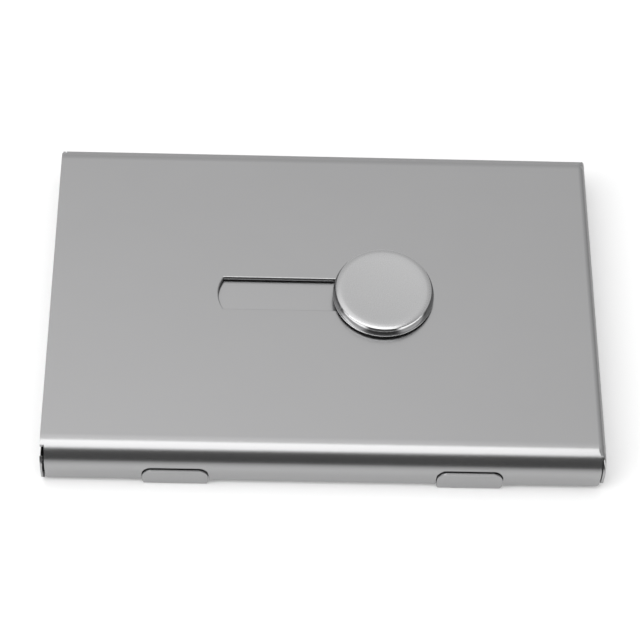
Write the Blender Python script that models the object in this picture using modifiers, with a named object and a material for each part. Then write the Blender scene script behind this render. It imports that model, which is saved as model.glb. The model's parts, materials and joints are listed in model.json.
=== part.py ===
"""Aluminium business card case with a thumb slide, in metres, +Z up.

The case lies on its lid, with the thumb button on top. X runs along the case, from the end where
cards come out to the closed end. Y runs from the hinge side to the back. The origin is the middle
of the lid's flat underside. A bent sheet cover is hinged to a bent sheet lid on two pins along the
front edge. A plate under the cover, driven by the thumb button through a slot, pushes the top card
out at the left end, and a leaf spring on the lid lifts the stack.
"""
import math

import bmesh
import bpy

# Whole case
CASE_LENGTH = 0.0952
CASE_DEPTH = 0.0650
COVER_HEIGHT = 0.00715          # from the walls' lower edge to the top face
FIT_GAP = 0.00030               # between pieces that sit together
RUNNING_GAP = 0.00010           # round pins and under the button's washer
OVERRUN = 0.0010                # how far a cutter runs past what it cuts
WELD = 0.000001                 # points closer than this are one point
ARC_STEPS = 8                   # flats in a rounded corner
ROUND_STEPS = 64                # flats round a large turned piece
SMALL_ROUND_STEPS = 24          # flats round a pin or a rivet

# Cover
COVER_SHEET = 0.00060
FRONT_BEND_RADIUS = 0.00440     # outer faces of the two long bends
BACK_BEND_RADIUS = 0.00330
END_BEND_RADIUS = 0.00140       # outer face of the bend into the right end wall
SLIT_RISE = 0.00670             # top of the slits at both ends, above the walls' lower edge

# Hinge
KNUCKLE_RADIUS = 0.00105        # outer radius, so the height of the hinge axis too
HINGE_INSET = 0.00100           # axis behind the cover's front face
PIN_RADIUS = 0.00035
EAR_RADIUS = 0.00085
TONGUE_SPACING = 0.0497
TONGUE_WIDTH = 0.0113
TONGUE_HEIGHT = 0.00430
TONGUE_PROUD = 0.00035          # tongue's face in front of the cover's
TONGUE_TOP_RADIUS = 0.00220
TONGUE_FOOT_RADIUS = 0.00070
TONGUE_BEND_RADIUS = 0.00050    # outer face of the bend from the plate into a tongue

# Lid
LID_SHEET = 0.00050
LID_BEND_RADIUS = 0.00080
LIP_HEIGHT = 0.00420            # back and right lips
END_WALL_HEIGHT = 0.00650       # left end wall at its two corners
EXIT_WIDTH = 0.0620             # card exit in the left end wall
EXIT_SILL = 0.00560             # height of the exit's lower edge
EXIT_CORNER_RADIUS = 0.00040

# Slot in the cover's top
SLOT_LEFT_X = -0.0186
SLOT_WIDTH = 0.0065
SLOT_Y = 0.00075
SLOT_CORNER_RADIUS = 0.0030     # at the end under the button
SLOT_END_REACH = 0.0010         # left end's shallow arc, past the corners it starts from

# Slider
BUTTON_X = 0.0103
BUTTON_RADIUS = 0.00885         # at the foot
BUTTON_SHOULDER_RADIUS = 0.00833  # where the domed edge meets the side
BUTTON_HEIGHT = 0.00210
BUTTON_CROWN = 0.00010
BUTTON_DOME_RADIUS = 0.00240    # section of the domed edge
BUTTON_DOME_DEGREES = 28        # its slope where it meets the side
BUTTON_SOCKET_DEPTH = 0.00090
WASHER_RADIUS = 0.0082
WASHER_THICKNESS = 0.00020
SHOE_LENGTH = 0.0100
SLIDER_SHEET = 0.00040
SLIDER_DROP = 0.00040           # between the cover's top sheet and the slider plate
SLIDER_WIDTH = 0.0440
SLIDER_OVERLAP = 0.0020         # plate past the slot's left end at rest
SLIDER_CORNER_RADIUS = 0.0030
PUSHER_DROP = 0.00080           # pusher edge below the plate
RIVET_RADIUS = 0.0012
RIVET_HEAD_RADIUS = 0.0024
RIVET_HEAD_THICKNESS = 0.00030

# Card spring
SPRING_SHEET = 0.00025
SPRING_WIDTH = 0.0120
SPRING_FOOT = 0.0080            # flat length at the riveted end
SPRING_ARCH = 0.0500            # length of the arched part
SPRING_RISE = 0.00090           # crest above the foot
SPRING_STEPS = 20
SPRING_RIVET_SPACING = 0.0070
SPRING_RIVET_RADIUS = 0.00070
SPRING_RIVET_HEAD_RADIUS = 0.00130
SPRING_RIVET_HEAD_HEIGHT = 0.00045

# Places worked out from the sizes
LEFT_X = -CASE_LENGTH / 2
RIGHT_X = CASE_LENGTH / 2
FRONT_Y = -CASE_DEPTH / 2
BACK_Y = CASE_DEPTH / 2
AXIS_Y = FRONT_Y + HINGE_INSET
AXIS_Z = KNUCKLE_RADIUS
COVER_BOTTOM_Z = AXIS_Z
COVER_TOP_Z = COVER_BOTTOM_Z + COVER_HEIGHT
COVER_INSIDE_Z = COVER_TOP_Z - COVER_SHEET
END_WALL_INSIDE_X = RIGHT_X - COVER_SHEET
LID_WALL_INSIDE_X = LEFT_X + LID_SHEET
LID_RIGHT_X = END_WALL_INSIDE_X - FIT_GAP
LID_BACK_Y = BACK_Y - COVER_SHEET - FIT_GAP
LID_FRONT_Y = AXIS_Y + FIT_GAP + RUNNING_GAP
TONGUE_CENTRES = (-TONGUE_SPACING / 2, TONGUE_SPACING / 2)
NOTCH_HALF_WIDTH = TONGUE_WIDTH / 2 + FIT_GAP
NOTCH_TOP_Z = TONGUE_HEIGHT + FIT_GAP
PIN_HOLE_RADIUS = PIN_RADIUS + RUNNING_GAP
SLOT_RIGHT_X = BUTTON_X + SHOE_LENGTH / 2 + FIT_GAP
SLIDER_TOP_Z = COVER_INSIDE_Z - SLIDER_DROP
SLIDER_BOTTOM_Z = SLIDER_TOP_Z - SLIDER_SHEET
SLIDER_LEFT_X = SLOT_LEFT_X - SLIDER_OVERLAP
SLIDER_RIGHT_X = END_WALL_INSIDE_X - FIT_GAP - RUNNING_GAP
WASHER_BOTTOM_Z = COVER_TOP_Z + RUNNING_GAP
BUTTON_BOTTOM_Z = WASHER_BOTTOM_Z + WASHER_THICKNESS + RUNNING_GAP
RIVET_HOLE_RADIUS = RIVET_RADIUS + RUNNING_GAP
SPRING_BOTTOM_Z = LID_SHEET + FIT_GAP
SPRING_LEFT_X = -(SPRING_FOOT + SPRING_ARCH) / 2
SPRING_RIVET_X = SPRING_LEFT_X + SPRING_FOOT / 2

# Which way a flat outline stands: the turn that lays its own plane in the named one
PLANES = {
    "XY": ((0, 0, 0), (0, 0, 1)),
    "XZ": ((math.pi / 2, 0, 0), (0, 1, 0)),
    "YZ": ((math.pi / 2, 0, math.pi / 2), (1, 0, 0)),
}


def clear_scene():
    for item in list(bpy.data.objects):
        bpy.data.objects.remove(item, do_unlink=True)


def make_collection(name):
    collection = bpy.data.collections.new(name)
    bpy.context.scene.collection.children.link(collection)
    return collection


clear_scene()
PARTS = make_collection("business_card_case")
CUTTERS = make_collection("cutters")


def round_path(corners, closed=True):
    """Points through corners (u, v, radius), each corner with a radius turned into an arc."""
    points = []
    count = len(corners)
    for index, (u, v, radius) in enumerate(corners):
        is_end = not closed and index in (0, count - 1)
        if radius <= 0 or is_end:
            points.append((u, v))
            continue
        before = corners[index - 1]
        after = corners[(index + 1) % count]
        towards = []
        for other in (before, after):
            reach = math.hypot(other[0] - u, other[1] - v)
            towards.append(((other[0] - u) / reach, (other[1] - v) / reach))
        (ax, ay), (bx, by) = towards
        half = math.acos(max(-1, min(1, ax * bx + ay * by))) / 2
        middle = math.hypot(ax + bx, ay + by)
        centre_u = u + (ax + bx) / middle * radius / math.sin(half)
        centre_v = v + (ay + by) / middle * radius / math.sin(half)
        tangent = radius / math.tan(half)
        start = math.atan2(v + ay * tangent - centre_v, u + ax * tangent - centre_u)
        end = math.atan2(v + by * tangent - centre_v, u + bx * tangent - centre_u)
        turn = (end - start + math.pi) % (2 * math.pi) - math.pi
        for step in range(ARC_STEPS + 1):
            angle = start + turn * step / ARC_STEPS
            points.append((centre_u + radius * math.cos(angle), centre_v + radius * math.sin(angle)))
    return points


def bent_sheet(path, sheet):
    """Outline of a bent sheet: its outer face follows path, and its inner face lies to the left."""
    inner = []
    count = len(path)
    for index, (u, v, radius) in enumerate(path):
        normals = []
        for first, second in ((index - 1, index), (index, index + 1)):
            if first < 0 or second >= count:
                continue
            run_u = path[second][0] - path[first][0]
            run_v = path[second][1] - path[first][1]
            length = math.hypot(run_u, run_v)
            normals.append((-run_v / length, run_u / length))
        sum_u = sum(normal[0] for normal in normals)
        sum_v = sum(normal[1] for normal in normals)
        scale = sheet * len(normals) / (sum_u ** 2 + sum_v ** 2)
        inner.append((u + sum_u * scale, v + sum_v * scale, max(radius - sheet, 0)))
    return round_path(path, closed=False) + round_path(inner, closed=False)[::-1]


def circle(centre, radius, steps=SMALL_ROUND_STEPS):
    points = []
    for step in range(steps):
        angle = 2 * math.pi * step / steps
        points.append((centre[0] + radius * math.cos(angle), centre[1] + radius * math.sin(angle)))
    return points


def rectangle(low, high, radius=0.0):
    return round_path([
        (low[0], low[1], radius),
        (high[0], low[1], radius),
        (high[0], high[1], radius),
        (low[0], high[1], radius),
    ])


def shade_round(mesh):
    mesh.shade_smooth()
    mesh.set_sharp_from_angle(angle=math.radians(35))


def prism(name, outlines, plane, low, high):
    """A closed solid: the outlines, the first with the others as holes, carried from low to high."""
    turn, axis = PLANES[plane]
    curve = bpy.data.curves.new(name, "CURVE")
    curve.dimensions = "2D"
    curve.fill_mode = "BOTH"
    curve.extrude = (high - low) / 2
    for outline in outlines:
        spline = curve.splines.new("POLY")
        spline.points.add(len(outline) - 1)
        for point, (u, v) in zip(spline.points, outline):
            point.co = (u, v, 0, 1)
        spline.use_cyclic_u = True
    drawn = bpy.data.objects.new(name, curve)
    drawn.rotation_euler = turn
    drawn.location = [part * (low + high) / 2 for part in axis]
    PARTS.objects.link(drawn)
    bpy.context.view_layer.update()
    mesh = bpy.data.meshes.new_from_object(drawn.evaluated_get(bpy.context.evaluated_depsgraph_get()))
    place = drawn.matrix_world.copy()
    bpy.data.objects.remove(drawn)
    weld = bmesh.new()
    weld.from_mesh(mesh)
    bmesh.ops.remove_doubles(weld, verts=weld.verts, dist=WELD)
    weld.to_mesh(mesh)
    weld.free()
    solid = bpy.data.objects.new(name, mesh)
    solid.matrix_world = place
    PARTS.objects.link(solid)
    shade_round(mesh)
    return solid


def block(name, low, high):
    """A box between two corners."""
    return prism(name, [rectangle(low[:2], high[:2])], "XY", low[2], high[2])


def turned(name, profile, centre, steps):
    """A turned solid: profile points (radius, height) run down the outer side, top to bottom."""
    mesh = bpy.data.meshes.new(name)
    mesh.from_pydata([(radius, 0, height) for radius, height in profile],
                     [(index, index + 1) for index in range(len(profile) - 1)], [])
    solid = bpy.data.objects.new(name, mesh)
    solid.location = centre
    PARTS.objects.link(solid)
    screw = solid.modifiers.new("turn", "SCREW")
    screw.axis = "Z"
    screw.angle = 2 * math.pi
    screw.steps = steps
    screw.render_steps = steps
    screw.use_merge_vertices = True
    screw.merge_threshold = WELD
    screw.use_smooth_shade = True
    return solid


def combine(solid, tool, operation):
    """Cut, join or trim a solid by a tool, which is then only a guide."""
    change = solid.modifiers.new(tool.name, "BOOLEAN")
    change.operation = operation
    change.object = tool
    tool.hide_render = True
    tool.display_type = "WIRE"
    PARTS.objects.unlink(tool)
    CUTTERS.objects.link(tool)


def cut(solid, tool):
    combine(solid, tool, "DIFFERENCE")


def join(solid, tool):
    combine(solid, tool, "UNION")


def trim(solid, tool):
    combine(solid, tool, "INTERSECT")


def finish(solid, colour, roughness, metallic):
    """One plain finish for one piece."""
    material = bpy.data.materials.new(solid.name + "_finish")
    material.use_nodes = True
    shader = material.node_tree.nodes["Principled BSDF"]
    shader.inputs["Base Color"].default_value = (*colour, 1.0)
    shader.inputs["Roughness"].default_value = roughness
    shader.inputs["Metallic"].default_value = metallic
    solid.data.materials.append(material)
    return solid


def satin_aluminium(solid):
    return finish(solid, (0.56, 0.56, 0.57), 0.38, 1.0)


def bright_aluminium(solid):
    return finish(solid, (0.68, 0.68, 0.69), 0.26, 1.0)


def bright_steel(solid):
    return finish(solid, (0.55, 0.56, 0.58), 0.25, 1.0)


def black_nylon(solid):
    return finish(solid, (0.02, 0.02, 0.02), 0.5, 0.0)


def case_outline(inset, top_z, bottom_z):
    """The case's end view, inset by one sheet for the inside, with the two long bends on top."""
    return round_path([
        (FRONT_Y + inset, bottom_z, 0),
        (BACK_Y - inset, bottom_z, 0),
        (BACK_Y - inset, top_z, BACK_BEND_RADIUS - inset),
        (FRONT_Y + inset, top_z, FRONT_BEND_RADIUS - inset),
    ])


def case_length_outline(inset, left_x, top_z, bottom_z):
    """The case's front view, inset by one sheet for the inside, with the right end's bend."""
    radius = END_BEND_RADIUS - inset
    return round_path([
        (left_x, bottom_z, 0),
        (RIGHT_X - inset, bottom_z, 0),
        (RIGHT_X - inset, top_z, radius),
        (left_x, top_z, 0),
    ])


def make_cover():
    """Cover: top sheet, two bent walls, a bent right end wall, the slot, notches and hinge ears."""
    cover = prism("cover_shell", [case_outline(0, COVER_TOP_Z, COVER_BOTTOM_Z)], "YZ", LEFT_X, RIGHT_X)
    low_z = COVER_BOTTOM_Z - OVERRUN
    outside = case_length_outline(0, LEFT_X - OVERRUN, COVER_TOP_Z, low_z)
    trim(cover, prism("cover_length", [outside], "XZ", FRONT_Y - OVERRUN, BACK_Y + OVERRUN))
    hollow = prism("cover_hollow", [case_outline(COVER_SHEET, COVER_INSIDE_Z, low_z)], "YZ",
                   LEFT_X - OVERRUN, RIGHT_X)
    inside = case_length_outline(COVER_SHEET, LEFT_X - 2 * OVERRUN, COVER_INSIDE_Z, low_z - OVERRUN)
    trim(hollow, prism("hollow_length", [inside], "XZ", FRONT_Y - OVERRUN, BACK_Y + OVERRUN))
    cut(cover, hollow)

    # Slits: the long walls stop short of the right end wall and of the lid's left end wall
    top_z = COVER_TOP_Z + OVERRUN
    for name, side, radius in (("front", -1, FRONT_BEND_RADIUS), ("back", 1, BACK_BEND_RADIUS)):
        rise = SLIT_RISE - (COVER_HEIGHT - radius)
        slit_edge_y = BACK_Y - radius + math.sqrt(radius ** 2 - rise ** 2)
        edges = sorted((side * slit_edge_y, side * (BACK_Y + OVERRUN)))
        cut(cover, block("right_slit_" + name,
                         (END_WALL_INSIDE_X - FIT_GAP, edges[0], low_z),
                         (END_WALL_INSIDE_X, edges[1], top_z)))
        cut(cover, block("left_slit_" + name,
                         (LEFT_X - OVERRUN, edges[0], low_z),
                         (LID_WALL_INSIDE_X + FIT_GAP, edges[1], top_z)))

    # Slot for the slider
    cut(cover, prism("slot", [slot_outline()], "XY", COVER_INSIDE_Z - OVERRUN, top_z))

    # Notches for the tongues, and an ear on each side of each notch for the hinge pin
    for number, centre in enumerate(TONGUE_CENTRES):
        notch = round_path([
            (centre - NOTCH_HALF_WIDTH, low_z, 0),
            (centre + NOTCH_HALF_WIDTH, low_z, 0),
            (centre + NOTCH_HALF_WIDTH, NOTCH_TOP_Z, TONGUE_TOP_RADIUS + FIT_GAP),
            (centre - NOTCH_HALF_WIDTH, NOTCH_TOP_Z, TONGUE_TOP_RADIUS + FIT_GAP),
        ])
        cut(cover, prism(f"notch_{number}", [notch], "XZ", FRONT_Y - OVERRUN, AXIS_Y))
        for end, side in enumerate((-1, 1)):
            edges = sorted((centre + side * NOTCH_HALF_WIDTH,
                            centre + side * (NOTCH_HALF_WIDTH + COVER_SHEET)))
            ear = prism(f"ear_{number}_{end}", [ear_outline(), circle((AXIS_Y, AXIS_Z), PIN_HOLE_RADIUS)],
                        "YZ", *edges)
            join(cover, ear)
    return satin_aluminium(cover)


def slot_outline():
    """The slot's plan: round corners under the button, and one shallow arc across the left end."""
    half_width = SLOT_WIDTH / 2
    corner = min(SLOT_CORNER_RADIUS, half_width)
    reach = min(SLOT_END_REACH, half_width)
    radius = (half_width ** 2 + reach ** 2) / (2 * reach)
    spread = math.asin(half_width / radius)
    points = round_path([
        (SLOT_LEFT_X + reach, SLOT_Y - half_width, 0),
        (SLOT_RIGHT_X, SLOT_Y - half_width, corner),
        (SLOT_RIGHT_X, SLOT_Y + half_width, corner),
        (SLOT_LEFT_X + reach, SLOT_Y + half_width, 0),
    ], closed=False)
    for step in range(1, ARC_STEPS):
        angle = math.pi - spread + 2 * spread * step / ARC_STEPS
        points.append((SLOT_LEFT_X + radius + radius * math.cos(angle), SLOT_Y + radius * math.sin(angle)))
    return points


def ear_outline():
    """A hinge ear's side view: a web from the wall's inside, and a round end about the pin."""
    web_y = FRONT_Y + COVER_SHEET / 2
    steps = SMALL_ROUND_STEPS
    round_end = []
    for step in range(steps + 1):
        angle = math.pi / 2 - 1.5 * math.pi * step / steps
        round_end.append((AXIS_Y + EAR_RADIUS * math.cos(angle), AXIS_Z + EAR_RADIUS * math.sin(angle)))
    web = [(web_y, AXIS_Z), (web_y, AXIS_Z + EAR_RADIUS)]
    return [point for point in round_end if point[0] > web_y] + web


def tongue_outline():
    """A hinge tongue's side view: upright tongue, bent foot and the knuckle round the pin."""
    face_y = FRONT_Y - TONGUE_PROUD
    rear_y = face_y + LID_SHEET
    start = math.acos((rear_y - AXIS_Y) / KNUCKLE_RADIUS)
    end = math.asin((LID_SHEET - AXIS_Z) / KNUCKLE_RADIUS)
    knuckle = []
    for step in range(SMALL_ROUND_STEPS + 1):
        angle = start + (end - start) * step / SMALL_ROUND_STEPS
        knuckle.append((AXIS_Y + KNUCKLE_RADIUS * math.cos(angle),
                        AXIS_Z + KNUCKLE_RADIUS * math.sin(angle)))
    root_y = AXIS_Y + 2 * KNUCKLE_RADIUS
    foot = round_path([
        (root_y, LID_SHEET, 0),
        (root_y, 0, 0),
        (face_y, 0, TONGUE_BEND_RADIUS),
        (face_y, TONGUE_HEIGHT, 0),
    ], closed=False)
    return foot + [(rear_y, TONGUE_HEIGHT)] + knuckle


def make_lid():
    """Lid: flat plate, left end wall with the card exit, right and back lips, and two tongues."""
    strip = bent_sheet([
        (LEFT_X, END_WALL_HEIGHT, 0),
        (LEFT_X, 0, LID_BEND_RADIUS),
        (LID_RIGHT_X, 0, LID_BEND_RADIUS),
        (LID_RIGHT_X, LIP_HEIGHT, 0),
    ], LID_SHEET)
    lid = prism("bottom_lid", [strip], "XZ", FRONT_Y, BACK_Y)
    top_z = END_WALL_HEIGHT + OVERRUN
    past_right_x = LID_RIGHT_X + OVERRUN
    inner_right_x = LID_RIGHT_X - LID_BEND_RADIUS
    inner_back_y = LID_BACK_Y - LID_BEND_RADIUS
    cut(lid, block("lid_front_edge", (LID_WALL_INSIDE_X, FRONT_Y - OVERRUN, -OVERRUN),
                   (past_right_x, LID_FRONT_Y, top_z)))
    cut(lid, block("lid_back_edge", (LID_WALL_INSIDE_X, inner_back_y, -OVERRUN),
                   (past_right_x, BACK_Y + OVERRUN, top_z)))
    outline = round_path([
        (FRONT_Y, 0, LID_FRONT_Y - FRONT_Y),
        (BACK_Y, 0, BACK_Y - LID_BACK_Y),
        (BACK_Y, COVER_TOP_Z, BACK_BEND_RADIUS),
        (FRONT_Y, COVER_TOP_Z, FRONT_BEND_RADIUS),
    ])
    trim(lid, prism("end_wall_outline", [outline], "YZ", LEFT_X - OVERRUN, past_right_x))

    # Back lip, between two corner reliefs
    lip = bent_sheet([
        (0, 0, 0),
        (LID_BACK_Y, 0, LID_BEND_RADIUS),
        (LID_BACK_Y, LIP_HEIGHT, 0),
    ], LID_SHEET)
    join(lid, prism("back_lip", [lip], "YZ", LEFT_X + LID_BEND_RADIUS + FIT_GAP, inner_right_x))

    # Card exit in the left end wall
    half_exit = EXIT_WIDTH / 2
    card_exit = round_path([
        (-half_exit, top_z, 0),
        (-half_exit, EXIT_SILL, EXIT_CORNER_RADIUS),
        (half_exit, EXIT_SILL, EXIT_CORNER_RADIUS),
        (half_exit, top_z, 0),
    ])
    cut(lid, prism("card_exit", [card_exit], "YZ", LEFT_X - OVERRUN, LID_WALL_INSIDE_X + OVERRUN))

    # Tongues with their knuckles, and room in the plate for the cover's ears
    for number, centre in enumerate(TONGUE_CENTRES):
        tongue = prism(f"tongue_{number}", [tongue_outline(), circle((AXIS_Y, AXIS_Z), PIN_HOLE_RADIUS)],
                       "YZ", centre - TONGUE_WIDTH / 2, centre + TONGUE_WIDTH / 2)
        face = round_path([
            (centre - TONGUE_WIDTH / 2, 0, TONGUE_FOOT_RADIUS),
            (centre + TONGUE_WIDTH / 2, 0, TONGUE_FOOT_RADIUS),
            (centre + TONGUE_WIDTH / 2, TONGUE_HEIGHT, TONGUE_TOP_RADIUS),
            (centre - TONGUE_WIDTH / 2, TONGUE_HEIGHT, TONGUE_TOP_RADIUS),
        ])
        trim(tongue, prism(f"tongue_face_{number}", [face], "XZ",
                           FRONT_Y - TONGUE_PROUD - OVERRUN, LID_FRONT_Y + OVERRUN + KNUCKLE_RADIUS))
        join(lid, tongue)
        for end, side in enumerate((-1, 1)):
            edges = sorted((centre + side * TONGUE_WIDTH / 2,
                            centre + side * (NOTCH_HALF_WIDTH + COVER_SHEET + FIT_GAP)))
            cut(lid, block(f"ear_room_{number}_{end}",
                           (edges[0], FRONT_Y - OVERRUN, -OVERRUN),
                           (edges[1], AXIS_Y + EAR_RADIUS + FIT_GAP, LID_SHEET + OVERRUN)))
    for end, side in enumerate((-1, 1)):
        hole = circle((SPRING_RIVET_X, side * SPRING_RIVET_SPACING / 2), SPRING_RIVET_RADIUS + RUNNING_GAP)
        cut(lid, prism(f"rivet_hole_{end}", [hole], "XY", -OVERRUN, LID_SHEET + OVERRUN))
    return satin_aluminium(lid)


def make_hinge_pins():
    """One headless pin through each knuckle and its two ears."""
    pins = []
    for name, centre in zip(("left", "right"), TONGUE_CENTRES):
        half = NOTCH_HALF_WIDTH + COVER_SHEET
        pin = prism("hinge_pin_" + name, [circle((AXIS_Y, AXIS_Z), PIN_RADIUS)], "YZ",
                    centre - half, centre + half)
        pins.append(bright_steel(pin))
    return pins


def spring_height(share):
    """Height of the arch above the foot, for a share of its length: one smooth hump."""
    return SPRING_RISE * math.sin(math.pi * share) ** 2


def make_card_spring():
    """Leaf spring: a flat foot at the left, then one long hump that lifts the cards."""
    lower = [(SPRING_LEFT_X, SPRING_BOTTOM_Z)]
    for step in range(SPRING_STEPS + 1):
        share = step / SPRING_STEPS
        lower.append((SPRING_LEFT_X + SPRING_FOOT + SPRING_ARCH * share,
                      SPRING_BOTTOM_Z + spring_height(share)))
    upper = [(x, z + SPRING_SHEET) for x, z in lower]
    spring = prism("card_spring", [lower + upper[::-1]], "XZ", -SPRING_WIDTH / 2, SPRING_WIDTH / 2)
    for end, side in enumerate((-1, 1)):
        hole = circle((SPRING_RIVET_X, side * SPRING_RIVET_SPACING / 2), SPRING_RIVET_RADIUS + RUNNING_GAP)
        cut(spring, prism(f"spring_hole_{end}", [hole], "XY", SPRING_BOTTOM_Z - FIT_GAP / 2,
                          SPRING_BOTTOM_Z + SPRING_SHEET + OVERRUN))
    return bright_steel(spring)


def make_spring_rivets():
    """Two small rivets: a flush shank through the lid and a round head over the spring's foot."""
    head_z = SPRING_BOTTOM_Z + SPRING_SHEET + RUNNING_GAP
    profile = [
        (0, head_z + SPRING_RIVET_HEAD_HEIGHT),
        (SPRING_RIVET_HEAD_RADIUS - SPRING_RIVET_HEAD_HEIGHT / 2, head_z + SPRING_RIVET_HEAD_HEIGHT),
        (SPRING_RIVET_HEAD_RADIUS, head_z + SPRING_RIVET_HEAD_HEIGHT / 2),
        (SPRING_RIVET_HEAD_RADIUS, head_z),
        (SPRING_RIVET_RADIUS, head_z),
        (SPRING_RIVET_RADIUS, 0),
        (0, 0),
    ]
    rivets = []
    for name, side in (("front", -1), ("back", 1)):
        centre = (SPRING_RIVET_X, side * SPRING_RIVET_SPACING / 2, 0)
        rivets.append(bright_steel(turned("spring_rivet_" + name, profile, centre, SMALL_ROUND_STEPS)))
    return rivets


def make_slider_plate():
    """Slider plate under the cover, with its right edge bent down as the pusher."""
    profile = bent_sheet([
        (SLIDER_LEFT_X, SLIDER_TOP_Z, 0),
        (SLIDER_RIGHT_X, SLIDER_TOP_Z, SLIDER_SHEET),
        (SLIDER_RIGHT_X, SLIDER_BOTTOM_Z - PUSHER_DROP, 0),
    ][::-1], SLIDER_SHEET)
    half = SLIDER_WIDTH / 2
    plate = prism("slider_plate", [profile], "XZ", SLOT_Y - half, SLOT_Y + half)
    outline = round_path([
        (SLIDER_LEFT_X, SLOT_Y - half, SLIDER_CORNER_RADIUS),
        (SLIDER_RIGHT_X + OVERRUN, SLOT_Y - half, 0),
        (SLIDER_RIGHT_X + OVERRUN, SLOT_Y + half, 0),
        (SLIDER_LEFT_X, SLOT_Y + half, SLIDER_CORNER_RADIUS),
    ])
    trim(plate, prism("slider_outline", [outline], "XY", SLIDER_BOTTOM_Z - PUSHER_DROP - OVERRUN,
                      SLIDER_TOP_Z + OVERRUN))
    hole = circle((BUTTON_X, SLOT_Y), RIVET_HOLE_RADIUS)
    cut(plate, prism("slider_hole", [hole], "XY", SLIDER_BOTTOM_Z - OVERRUN, SLIDER_TOP_Z + OVERRUN))
    return satin_aluminium(plate)


def make_guide_shoe():
    """Nylon shoe that fills the slot's width under the button and keeps the slider square."""
    half_length = SHOE_LENGTH / 2
    half_width = SLOT_WIDTH / 2 - FIT_GAP
    outline = rectangle((BUTTON_X - half_length, SLOT_Y - half_width),
                        (BUTTON_X + half_length, SLOT_Y + half_width),
                        min(SLOT_CORNER_RADIUS - FIT_GAP, half_width))
    shoe = prism("guide_shoe", [outline, circle((BUTTON_X, SLOT_Y), RIVET_HOLE_RADIUS)], "XY",
                 SLIDER_TOP_Z + RUNNING_GAP, COVER_TOP_Z)
    return black_nylon(shoe)


def make_button_washer():
    """Thin nylon washer that the button glides on."""
    washer = prism("button_washer", [circle((BUTTON_X, SLOT_Y), WASHER_RADIUS, ROUND_STEPS),
                                     circle((BUTTON_X, SLOT_Y), RIVET_HOLE_RADIUS)], "XY",
                   WASHER_BOTTOM_Z, WASHER_BOTTOM_Z + WASHER_THICKNESS)
    return black_nylon(washer)


def make_thumb_button():
    """Round button: a slightly crowned top with a domed edge, a side that curves down to an upright
    foot, and a blind socket for the rivet."""
    slope = math.radians(BUTTON_DOME_DEGREES)
    flat = BUTTON_SHOULDER_RADIUS - BUTTON_DOME_RADIUS * math.sin(slope)
    dome_top = BUTTON_HEIGHT - BUTTON_CROWN
    profile = []
    for step in range(ARC_STEPS):
        share = step / ARC_STEPS
        profile.append((flat * share, BUTTON_HEIGHT - BUTTON_CROWN * share ** 2))
    for step in range(ARC_STEPS):
        angle = slope * step / ARC_STEPS
        profile.append((flat + BUTTON_DOME_RADIUS * math.sin(angle),
                        dome_top - BUTTON_DOME_RADIUS * (1 - math.cos(angle))))
    side_height = dome_top - BUTTON_DOME_RADIUS * (1 - math.cos(slope))
    side_depth = BUTTON_RADIUS - BUTTON_SHOULDER_RADIUS
    side_radius = (side_height ** 2 + side_depth ** 2) / (2 * side_depth)
    side_turn = math.asin(side_height / side_radius)
    for step in range(ARC_STEPS + 1):
        angle = side_turn * (1 - step / ARC_STEPS)
        profile.append((BUTTON_RADIUS - side_radius * (1 - math.cos(angle)), side_radius * math.sin(angle)))
    profile += [
        (RIVET_HOLE_RADIUS, 0),
        (RIVET_HOLE_RADIUS, BUTTON_SOCKET_DEPTH),
        (0, BUTTON_SOCKET_DEPTH),
    ]
    centre = (BUTTON_X, SLOT_Y, BUTTON_BOTTOM_Z)
    return bright_aluminium(turned("thumb_button", profile, centre, ROUND_STEPS))


def make_button_rivet():
    """Rivet that holds plate, shoe, washer and button together, with a flat head below the plate."""
    head_top = SLIDER_BOTTOM_Z - RUNNING_GAP
    shank_top = BUTTON_BOTTOM_Z + BUTTON_SOCKET_DEPTH - RUNNING_GAP
    profile = [
        (0, shank_top),
        (RIVET_RADIUS, shank_top),
        (RIVET_RADIUS, head_top),
        (RIVET_HEAD_RADIUS, head_top),
        (RIVET_HEAD_RADIUS, head_top - RIVET_HEAD_THICKNESS),
        (0, head_top - RIVET_HEAD_THICKNESS),
    ]
    return bright_steel(turned("button_rivet", profile, (BUTTON_X, SLOT_Y, 0), SMALL_ROUND_STEPS))


def make_axis(name, place, pieces):
    """An empty on a joint's axis, which carries the pieces that move about it."""
    axis = bpy.data.objects.new(name, None)
    axis.location = place
    PARTS.objects.link(axis)
    bpy.context.view_layer.update()
    for piece in pieces:
        piece.parent = axis
        piece.matrix_parent_inverse = axis.matrix_world.inverted()
    return axis


def build():
    make_lid()
    make_card_spring()
    make_spring_rivets()
    slider = [make_slider_plate(), make_guide_shoe(), make_button_washer(), make_thumb_button(),
              make_button_rivet()]
    slide_axis = make_axis("slide_axis", (BUTTON_X, SLOT_Y, SLIDER_TOP_Z), slider)
    make_axis("hinge_axis", (0, AXIS_Y, AXIS_Z), [make_cover(), *make_hinge_pins(), slide_axis])


build()
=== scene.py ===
"""Looks of an aluminium business card case with a thumb slide, on a pale table.

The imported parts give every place. Each piece is worked out here again as a fine surface in metres,
with small rolled edges, and takes a satin, polished or moulded finish made from shader nodes.
"""
import json
import math

import bmesh
import bpy
import numpy as np
from mathutils import Matrix, Vector


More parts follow.
